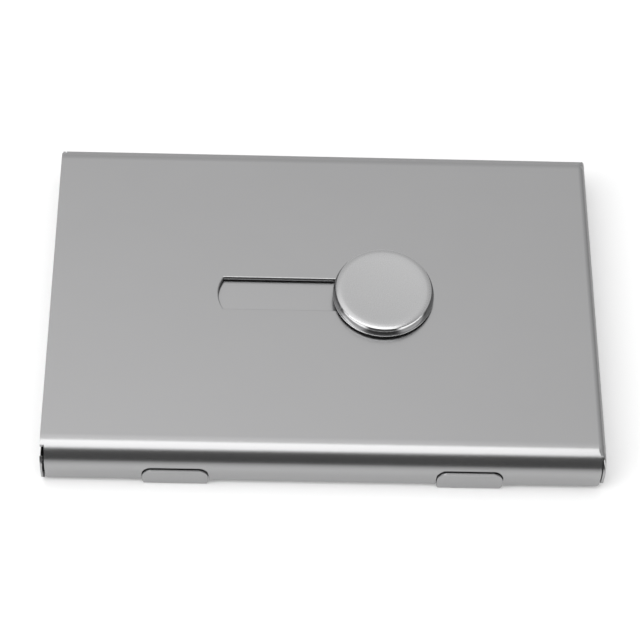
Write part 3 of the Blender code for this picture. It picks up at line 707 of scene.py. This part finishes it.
def make_lid():
    """Lid: plate, left end wall and right lip bent from one strip, a back lip, a low front lip in
    three lengths, and two tongues."""
    strip = sheet_outline([
        (LEFT_X, END_WALL_HEIGHT, 0),
        (LEFT_X, 0, LID_BEND),
        (LID_RIGHT_X, 0, LID_BEND),
        (LID_RIGHT_X, LIP_HEIGHT, 0),
    ], LID_SHEET)
    lid = prism("lid_satin_tray", strip, "XZ", FRONT_Y, BACK_Y)
    top_z = END_WALL_HEIGHT + OVERRUN
    past_x = LID_RIGHT_X + OVERRUN
    inner_right_x = LID_RIGHT_X - LID_BEND
    cut(lid,
        block("front_edge", (LID_WALL_X, FRONT_Y - OVERRUN, -OVERRUN), (past_x, LID_FRONT_Y, top_z)),
        block("back_edge", (LID_WALL_X, LID_BACK_Y - LID_BEND, -OVERRUN),
              (past_x, BACK_Y + OVERRUN, top_z)))
    outline = rounded([
        (FRONT_Y, 0, LID_FRONT_Y - FRONT_Y),
        (BACK_Y, 0, BACK_Y - LID_BACK_Y),
        (BACK_Y, TOP_Z, BACK_BEND),
        (FRONT_Y, TOP_Z, FRONT_BEND),
    ])
    trim(lid, prism("wall_outline", outline, "YZ", LEFT_X - OVERRUN, past_x))
    inner_left_x = LEFT_X + LID_BEND + FIT_GAP
    lip = sheet_outline([(0, 0, 0), (LID_BACK_Y, 0, LID_BEND), (LID_BACK_Y, LIP_HEIGHT, 0)], LID_SHEET)
    join(lid, prism("back_lip", lip, "YZ", inner_left_x, inner_right_x))
    join(lid, *front_lips(inner_left_x, inner_right_x))
    half_exit = EXIT_WIDTH / 2
    card_exit = rounded([
        (-half_exit, top_z, 0),
        (-half_exit, EXIT_SILL, EXIT_CORNER),
        (half_exit, EXIT_SILL, EXIT_CORNER),
        (half_exit, top_z, 0),
    ])
    cut(lid, prism("card_exit", card_exit, "YZ", LEFT_X - OVERRUN, LID_WALL_X + OVERRUN))
    cut(lid, exit_slope(half_exit))
    for name, wall_y, inward in (("front", FRONT_Y, LID_SHEET), ("back", BACK_Y, -LID_SHEET)):
        cut(lid, wall_end_slope(name, wall_y, inward, top_z))
    join(lid, *[make_tongue(number, centre, height)
                for number, (centre, height) in enumerate(zip(TONGUE_CENTRES, TONGUE_HEIGHTS))])
    cut(lid, *ear_rooms())
    cut(lid, *spring_rivet_holes(-OVERRUN, LID_SHEET + OVERRUN))
    roll_edges(lid, LID_EDGE)
    dress(lid, "lid", "satin_aluminium", (SATIN_SHEET, SHEET_EDGE), "bottom_lid")


# Hinge pins, card spring and its rivets
HINGE_PINS = ("hinge_pin_left", "hinge_pin_right")
SPRING_RIVETS = ("spring_rivet_front", "spring_rivet_back")
SPRING_RIVET_RADIUS = 0.7 * MM
SPRING_RIVET_HOLE = SPRING_RIVET_RADIUS + RUNNING_GAP
SPRING_RIVET_HEAD = 0.45 * MM
SPRING_SHEET = 0.25 * MM
SPRING_EDGE = SPRING_SHEET / 5
SPRING_FOOT = 8.0 * MM
SPRING_STEPS = 120
PIN_CHAMFER = 0.08 * MM


def make_pin(node):
    """A straight wire pin with chamfered ends."""
    low, high = box(node)
    centre = (0, AXIS_Y, AXIS_Z)
    profile = [
        (0, low[0]), (PIN_RADIUS - PIN_CHAMFER, low[0]), (PIN_RADIUS, low[0] + PIN_CHAMFER),
        (PIN_RADIUS, high[0] - PIN_CHAMFER), (PIN_RADIUS - PIN_CHAMFER, high[0]), (0, high[0]),
    ]
    pin = turned(node + "_wire", profile, centre, SMALL_ROUND_STEPS, axis="X")
    smooth(pin)
    dress(pin, "cover", "bright_steel", (BRIGHT_STEEL,), node)


def make_card_spring():
    """Leaf spring: a flat foot, then one hump whose height is sin squared of its length's share."""
    low, high = spring_low, spring_high
    rise = high[2] - low[2] - SPRING_SHEET
    share = np.linspace(0, 1, SPRING_STEPS + 1)
    arch_x = low[0] + SPRING_FOOT + (high[0] - low[0] - SPRING_FOOT) * share
    lower = np.stack([arch_x, low[2] + rise * np.sin(math.pi * share) ** 2], axis=1)
    lower = np.concatenate([[[low[0], low[2]]], lower])
    outline = np.concatenate([lower, (lower + (0, SPRING_SHEET))[::-1]])
    spring = prism("leaf_spring", outline, "XZ", low[1], high[1])
    cut(spring, *spring_rivet_holes(low[2] - FIT_GAP / 2, low[2] + SPRING_SHEET + OVERRUN))
    roll_edges(spring, SPRING_EDGE, segments=2)
    dress(spring, "lid", "bright_steel", (BRIGHT_STEEL, BRIGHT_STEEL), "card_spring")


def make_spring_rivet(node):
    """A flush shank with a domed head: the head's height falls off as a quarter ellipse."""
    low, high = box(node)
    centre = (*middle(node), 0)
    radius = (high[0] - low[0]) / 2
    head_z = high[2] - SPRING_RIVET_HEAD
    angle = np.linspace(math.pi / 2, 0, CORNER_STEPS)
    dome = np.stack([radius * np.cos(angle), head_z + SPRING_RIVET_HEAD * np.sin(angle)], axis=1)
    profile = [*dome, (SPRING_RIVET_RADIUS, head_z), (SPRING_RIVET_RADIUS, low[2]), (0, low[2])]
    rivet = turned(node + "_dome", profile, centre, SMALL_ROUND_STEPS)
    smooth(rivet, DOME_SHARP_ANGLE)
    dress(rivet, "lid", "bright_steel", (BRIGHT_STEEL,), node)


# Slider
SLIDER_THICKNESS = 0.4 * MM
SLIDER_CORNER = 3.0 * MM
SLIDER_EDGE = SLIDER_THICKNESS / 6
SHOE_EDGE = 0.1 * MM
WASHER_EDGE = 0.05 * MM
RIVET_EDGE = 0.05 * MM
RIVET_RADIUS = 1.2 * MM
RIVET_HOLE = RIVET_RADIUS + RUNNING_GAP
RIVET_HEAD = 0.3 * MM
BUTTON_SOCKET = 0.9 * MM


def make_slider_plate():
    """Slider plate with its right edge bent down, and round corners at the left."""
    low, high = plate_low, plate_high
    profile = sheet_outline([
        (high[0], low[2], 0),
        (high[0], high[2], SLIDER_THICKNESS),
        (low[0], high[2], 0),
    ], SLIDER_THICKNESS)
    plate = prism("slider_satin_plate", profile, "XZ", low[1], high[1])
    outline = rounded([
        (low[0], low[1], SLIDER_CORNER),
        (high[0] + OVERRUN, low[1], 0),
        (high[0] + OVERRUN, high[1], 0),
        (low[0], high[1], SLIDER_CORNER),
    ])
    trim(plate, prism("plate_outline", outline, "XY", low[2] - OVERRUN, high[2] + OVERRUN))
    cut(plate, prism("plate_hole", circle((BUTTON_X, SLOT_Y), RIVET_HOLE), "XY", low[2] - OVERRUN,
                     high[2] + OVERRUN))
    roll_edges(plate, SLIDER_EDGE, segments=2)
    dress(plate, "slider", "satin_aluminium", (SLIDER_SHEET, SHEET_EDGE), "slider_plate")


def make_guide_shoe():
    """Nylon shoe that fills the slot under the button."""
    low, high = shoe_low, shoe_high
    outline = rectangle(low[:2], high[:2], SLOT_CORNER - FIT_GAP)
    shoe = prism("nylon_shoe", outline, "XY", low[2], high[2])
    cut(shoe, prism("shoe_hole", circle((BUTTON_X, SLOT_Y), RIVET_HOLE), "XY", low[2] - OVERRUN,
                    high[2] + OVERRUN))
    roll_edges(shoe, SHOE_EDGE, segments=2)
    dress(shoe, "slider", "black_nylon", (BLACK_NYLON, BLACK_NYLON), "guide_shoe")


def ring_profile(inner, outer, low_z, high_z, edge):
    """Closed section of a washer, with its outer corners cut back by the edge."""
    return [(inner, low_z), (outer - edge, low_z), (outer, low_z + edge), (outer, high_z - edge),
            (outer - edge, high_z), (inner, high_z), (inner, low_z)]


def make_washer():
    """Thin nylon washer under the button."""
    low, high = washer_low, washer_high
    radius = (high[0] - low[0]) / 2
    profile = ring_profile(RIVET_HOLE, radius, low[2], high[2], WASHER_EDGE)
    washer = turned("nylon_washer", profile, (BUTTON_X, SLOT_Y, 0), ROUND_STEPS)
    smooth(washer)
    dress(washer, "slider", "black_nylon", (BLACK_NYLON,), "button_washer")


def make_rivet():
    """Button rivet: a shank and a flat head below the plate."""
    low, high = rivet_low, rivet_high
    radius = (high[0] - low[0]) / 2
    head_z = low[2] + RIVET_HEAD
    profile = [(0, high[2]), (RIVET_RADIUS, high[2]), (RIVET_RADIUS, head_z), (radius, head_z),
               (radius, low[2] + RIVET_EDGE), (radius - RIVET_EDGE, low[2]), (0, low[2])]
    rivet = turned("flat_rivet", profile, (BUTTON_X, SLOT_Y, 0), SMALL_ROUND_STEPS)
    smooth(rivet)
    dress(rivet, "slider", "bright_steel", (BRIGHT_STEEL,), "button_rivet")


# Sizes of the button, as its side view shows them
DISH_RADIUS = 7.1 * MM          # slightly hollow face
DISH_DEPTH = 0.15 * MM
SHOULDER_RADIUS = 8.33 * MM     # where the domed edge of the face ends
DOME_RADIUS = 2.0 * MM
DOME_SLOPE = 28                 # degrees, at the shoulder
TOP_PLAY = 0.10 * MM            # face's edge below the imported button's top
GROOVE_DEPTH = 0.09 * MM
GROOVE_HEIGHT = 0.11 * MM
BAND_FOOT = 0.26 * MM           # lower edge of the polished band
FLANGE_REACH = 0.05 * MM        # thin flange at the foot, past the band
FLANGE_LOW = 0.12 * MM
UNDERSIDE_RADIUS = 8.1 * MM     # bearing face under the button, on its washer
FACE_STEPS = 14
FLANGE_STEPS = 9


def button_profile():
    """Side view of the button, from the top's middle down and under: a face whose hollow grows with
    the square of the radius, a domed edge as an arc, a fine groove, a polished band as an arc that
    ends upright, and a thin round flange."""
    slope = math.radians(DOME_SLOPE)
    flat = SHOULDER_RADIUS - DOME_RADIUS * math.sin(slope)
    top = BUTTON_HEIGHT - TOP_PLAY
    radius = np.linspace(0, flat, FACE_STEPS)
    hollow = DISH_DEPTH * (1 - np.minimum(radius / DISH_RADIUS, 1) ** 2)
    face = np.stack([radius, top - hollow], axis=1)
    angle = np.linspace(0, slope, CORNER_STEPS)
    dome = np.stack([flat + DOME_RADIUS * np.sin(angle),
                     top - DOME_RADIUS * (1 - np.cos(angle))], axis=1)
    shoulder = dome[-1]
    groove = np.array([
        (shoulder[0] - GROOVE_DEPTH, shoulder[1] - GROOVE_HEIGHT / 3),
        (shoulder[0] - GROOVE_DEPTH, shoulder[1] - GROOVE_HEIGHT),
    ])
    band_radius = BUTTON_RADIUS - FLANGE_REACH
    band_top = shoulder[1] - GROOVE_HEIGHT
    height = band_top - BAND_FOOT
    depth = band_radius - SHOULDER_RADIUS
    bow = (height ** 2 + depth ** 2) / (2 * depth)
    angle = np.linspace(math.asin(height / bow), 0, CORNER_STEPS)
    band = np.stack([band_radius - bow * (1 - np.cos(angle)),
                     BAND_FOOT + bow * np.sin(angle)], axis=1)
    angle = np.linspace(math.pi / 2, -math.pi / 2, FLANGE_STEPS)
    flange_round = (BAND_FOOT - FLANGE_LOW) / 2
    flange = np.stack([BUTTON_RADIUS - flange_round + flange_round * np.cos(angle),
                       FLANGE_LOW + flange_round + flange_round * np.sin(angle)], axis=1)
    socket = np.array([(UNDERSIDE_RADIUS, FLANGE_LOW), (UNDERSIDE_RADIUS, 0), (RIVET_HOLE, 0),
                       (RIVET_HOLE, BUTTON_SOCKET), (0, BUTTON_SOCKET)])
    return np.concatenate([face, dome[1:], groove, band, flange, socket])


def make_button():
    """Thumb button: the satin face with its domed edge takes one finish, all below it another."""
    profile = button_profile()
    button = turned("button_disc", profile, (BUTTON_X, SLOT_Y, button_low[2]), ROUND_STEPS)
    smooth(button, BUTTON_SHARP_ANGLE)
    dress(button, "slider", "bright_aluminium", (BUTTON_FACE, BUTTON_RIM), "thumb_button")
    centres = np.zeros(len(button.data.polygons) * 3)
    button.data.polygons.foreach_get("center", centres)
    centres = centres.reshape(-1, 3)
    radius = np.hypot(centres[:, 0] - BUTTON_X, centres[:, 1] - SLOT_Y)
    on_rim = radius > SHOULDER_RADIUS - GROOVE_DEPTH
    on_rim |= centres[:, 2] < button_low[2] + BUTTON_HEIGHT / 2
    button.data.polygons.foreach_set("material_index", on_rim.astype(np.int32))


make_cover()
make_lid()
for node in HINGE_PINS:
    make_pin(node)
make_card_spring()
for node in SPRING_RIVETS:
    make_spring_rivet(node)
make_slider_plate()
make_guide_shoe()
make_washer()
make_rivet()
make_button()


# Table and light
FLOOR_SIZE = 6.0
FLOOR_GLOW = 0.08               # own light, seen by the camera and in mirrors alone


def make_floor():
    """A plain pale table top, just below the case."""
    corner = FLOOR_SIZE / 2
    points = corner * np.array([(-1, -1, 0), (1, -1, 0), (1, 1, 0), (-1, 1, 0)])
    floor = make_piece("floor", points, [[0, 1, 2, 3]])
    material, tree, shader = blank_material("pale_table")
    shader.inputs["Base Color"].default_value = (0.93, 0.93, 0.93, 1)
    shader.inputs["Roughness"].default_value = 0.9
    shader.inputs["Specular IOR Level"].default_value = 0.1
    shader.inputs["Coat Weight"].default_value = 1.0
    shader.inputs["Coat Roughness"].default_value = 0.15
    shader.inputs["Coat IOR"].default_value = 1.5
    shader.inputs["Emission Color"].default_value = (1, 1, 1, 1)
    path = add(tree, "ShaderNodeLightPath")
    seen = path.outputs["Is Camera Ray"]
    for kind in ("Is Glossy Ray", "Is Transmission Ray"):
        seen = add(tree, "ShaderNodeMath", {0: seen, 1: path.outputs[kind]},
                   operation="MAXIMUM").outputs[0]
    glow = add(tree, "ShaderNodeMath", {0: seen, 1: FLOOR_GLOW}, operation="MULTIPLY").outputs[0]
    tree.links.new(glow, shader.inputs["Emission Strength"])
    floor.data.materials.append(material)


# Brightness of the studio round the case's length, as seen from the case, by the angle in degrees
# from straight up, with the front positive
STUDIO_ANGLES = (-90, -78, -66, -46, 0, 6, 26, 34, 90)
STUDIO_LIGHT = (1.00, 0.84, 0.75, 0.87, 0.87, 0.50, 0.40, 0.11, 0.11)
# Share of that from left to right, by the direction's part along X
SIDE_PLACES = (-1.0, -0.85, -0.5, 0.15, 0.7, 1.0)
SIDE_LIGHT = (0.35, 0.55, 0.98, 0.97, 0.75, 0.40)
# Brighter stretches overhead and in front, added to it and stronger toward the left
GLOW_ANGLES = (-39, -27, -8, 6, 30, 36, 40)
GLOW_LIGHT = (0.0, 0.45, 0.55, 0.0, 0.0, 0.5, 0.0)
GLOW_PLACES = (-0.15, -0.05, 0.03, 0.15, 0.5)
GLOW_SHARES = (1.0, 0.85, 0.75, 0.3, 0.1)
# Two upright panels, in front at the left and at the right. Each pair says where a panel starts and
# where it is full, in parts of the direction: aside, toward the front, and down from its top.
PANEL_LIGHT = 1.6
PANEL_ASIDE = (0.40, 0.60)
PANEL_FRONT = (0.05, 0.25)
PANEL_TOP = (0.90, 0.60)


def graded(tree, value, low, high, places, levels):
    """A pattern that runs straight from level to level between the given places of a value."""
    share = add(tree, "ShaderNodeMapRange", {
        "Value": value, "From Min": low, "From Max": high, "To Min": 0.0, "To Max": 1.0,
    }).outputs["Result"]
    ramp = add(tree, "ShaderNodeValToRGB", {"Fac": share})
    stops = ramp.color_ramp.elements
    while len(stops) < len(places):
        stops.new(1.0)
    top = max(levels)
    for stop, place, level in zip(stops, places, levels):
        stop.position = (place - low) / (high - low)
        stop.color = (level / top, level / top, level / top, 1)
    return product(tree, ramp.outputs["Color"], top)


def product(tree, *values):
    """All the values multiplied."""
    total = values[0]
    for value in values[1:]:
        total = add(tree, "ShaderNodeMath", {0: total, 1: value}, operation="MULTIPLY").outputs[0]
    return total


def soft_step(tree, value, low, high):
    """0 before low, 1 past high, with a soft change between."""
    return add(tree, "ShaderNodeMapRange", {
        "Value": value, "From Min": low, "From Max": high, "To Min": 0.0, "To Max": 1.0,
    }, interpolation_type="SMOOTHSTEP").outputs["Result"]


def make_world():
    """Studio light that changes round the case's length: brightest low at the back, with brighter
    stretches overhead, and dark in front. It is weaker toward both sides, and two bright panels
    stand in front, at the left and at the right."""
    world = bpy.data.worlds.new("studio")
    world.use_nodes = True
    tree = world.node_tree
    background = tree.nodes["Background"]
    view = add(tree, "ShaderNodeTexCoord").outputs["Generated"]
    part = add(tree, "ShaderNodeSeparateXYZ", {"Vector": view})
    toward = product(tree, part.outputs["Y"], -1.0)
    angle = add(tree, "ShaderNodeMath", {0: toward, 1: part.outputs["Z"]},
                operation="ARCTAN2").outputs[0]
    quarter = math.pi / 2
    around = graded(tree, angle, -quarter, quarter, np.radians(STUDIO_ANGLES), STUDIO_LIGHT)
    across = graded(tree, part.outputs["X"], -1, 1, SIDE_PLACES, SIDE_LIGHT)
    glow = product(tree, graded(tree, angle, -quarter, quarter, np.radians(GLOW_ANGLES), GLOW_LIGHT),
                   graded(tree, part.outputs["X"], -1, 1, GLOW_PLACES, GLOW_SHARES))
    aside = add(tree, "ShaderNodeMath", {0: part.outputs["X"]}, operation="ABSOLUTE").outputs[0]
    panels = product(tree, soft_step(tree, aside, *PANEL_ASIDE), soft_step(tree, toward, *PANEL_FRONT),
                     soft_step(tree, part.outputs["Z"], *PANEL_TOP), PANEL_LIGHT)
    light = product(tree, around, across)
    for more in (glow, panels):
        light = add(tree, "ShaderNodeMath", {0: light, 1: more}, operation="ADD").outputs[0]
    tree.links.new(light, background.inputs["Strength"])
    background.inputs["Color"].default_value = (1, 1, 1, 1)
    bpy.context.scene.world = world


# Softbox over the front bend, mostly to its left, in metres
SOFTBOX_DEPTH = 0.43
SOFTBOX_LEFT_X = -1.4
SOFTBOX_RIGHT_X = 0.23
SOFTBOX_DISTANCE = 0.70
SOFTBOX_LEAN = 15.5             # degrees from straight above, toward the front
SOFTBOX_RADIANCE = 1.93


def make_softbox():
    """One large soft lamp overhead, which the bends mirror."""
    lamp = bpy.data.lights.new("softbox", "AREA")
    lamp.shape = "RECTANGLE"
    lamp.size = SOFTBOX_RIGHT_X - SOFTBOX_LEFT_X
    lamp.size_y = SOFTBOX_DEPTH
    lean = math.radians(SOFTBOX_LEAN)
    lamp.energy = SOFTBOX_RADIANCE * math.pi * lamp.size * lamp.size_y
    softbox = bpy.data.objects.new("softbox", lamp)
    softbox.location = ((SOFTBOX_LEFT_X + SOFTBOX_RIGHT_X) / 2,
                        FRONT_Y - SOFTBOX_DISTANCE * math.sin(lean),
                        SOFTBOX_DISTANCE * math.cos(lean))
    softbox.rotation_euler = (lean, 0, 0)
    bpy.context.scene.collection.objects.link(softbox)


# Camera, solved from the case's straight edges in the 640 pixel frame, with its angles in degrees
FOCAL_PIXELS = 2245.63
FRAME_PIXELS = 640
SENSOR_WIDTH = 36               # millimetres
CAMERA_ELEVATION = 57.19
CAMERA_TURN = -2.93
CAMERA_ROLL = 3.55
CAMERA_DISTANCE = 398.30 * MM
CAMERA_RIGHT = -0.42 * MM
CAMERA_UP = 0.05 * MM
CAMERA_TARGET_X = -0.1 * MM


def make_camera():
    """Camera at the photograph's angle, looking at the middle of the cover's lower edge."""
    elevation, turn, roll = map(math.radians, (CAMERA_ELEVATION, CAMERA_TURN, CAMERA_ROLL))
    away = Vector((math.sin(turn) * math.cos(elevation), -math.cos(turn) * math.cos(elevation),
                   math.sin(elevation)))
    right = (-away).cross(Vector((0, 0, 1))).normalized()
    up = right.cross(-away)
    target = Vector((CAMERA_TARGET_X, 0, BOTTOM_Z))
    place = away * CAMERA_DISTANCE + right * CAMERA_RIGHT + up * CAMERA_UP + target
    rolled_right = right * math.cos(roll) + up * math.sin(roll)
    rolled_up = up * math.cos(roll) - right * math.sin(roll)
    turned_axes = Matrix((rolled_right, rolled_up, away)).transposed()
    camera = bpy.data.objects.new("camera", bpy.data.cameras.new("camera"))
    camera.data.sensor_width = SENSOR_WIDTH
    camera.data.lens = FOCAL_PIXELS / FRAME_PIXELS * SENSOR_WIDTH
    camera.data.clip_start = 0.01
    camera.data.clip_end = 20
    camera.matrix_world = Matrix.Translation(place) @ turned_axes.to_4x4()
    bpy.context.scene.collection.objects.link(camera)
    bpy.context.scene.camera = camera


make_floor()
make_world()
make_softbox()
make_camera()
bpy.context.scene.view_settings.view_transform = "Standard"
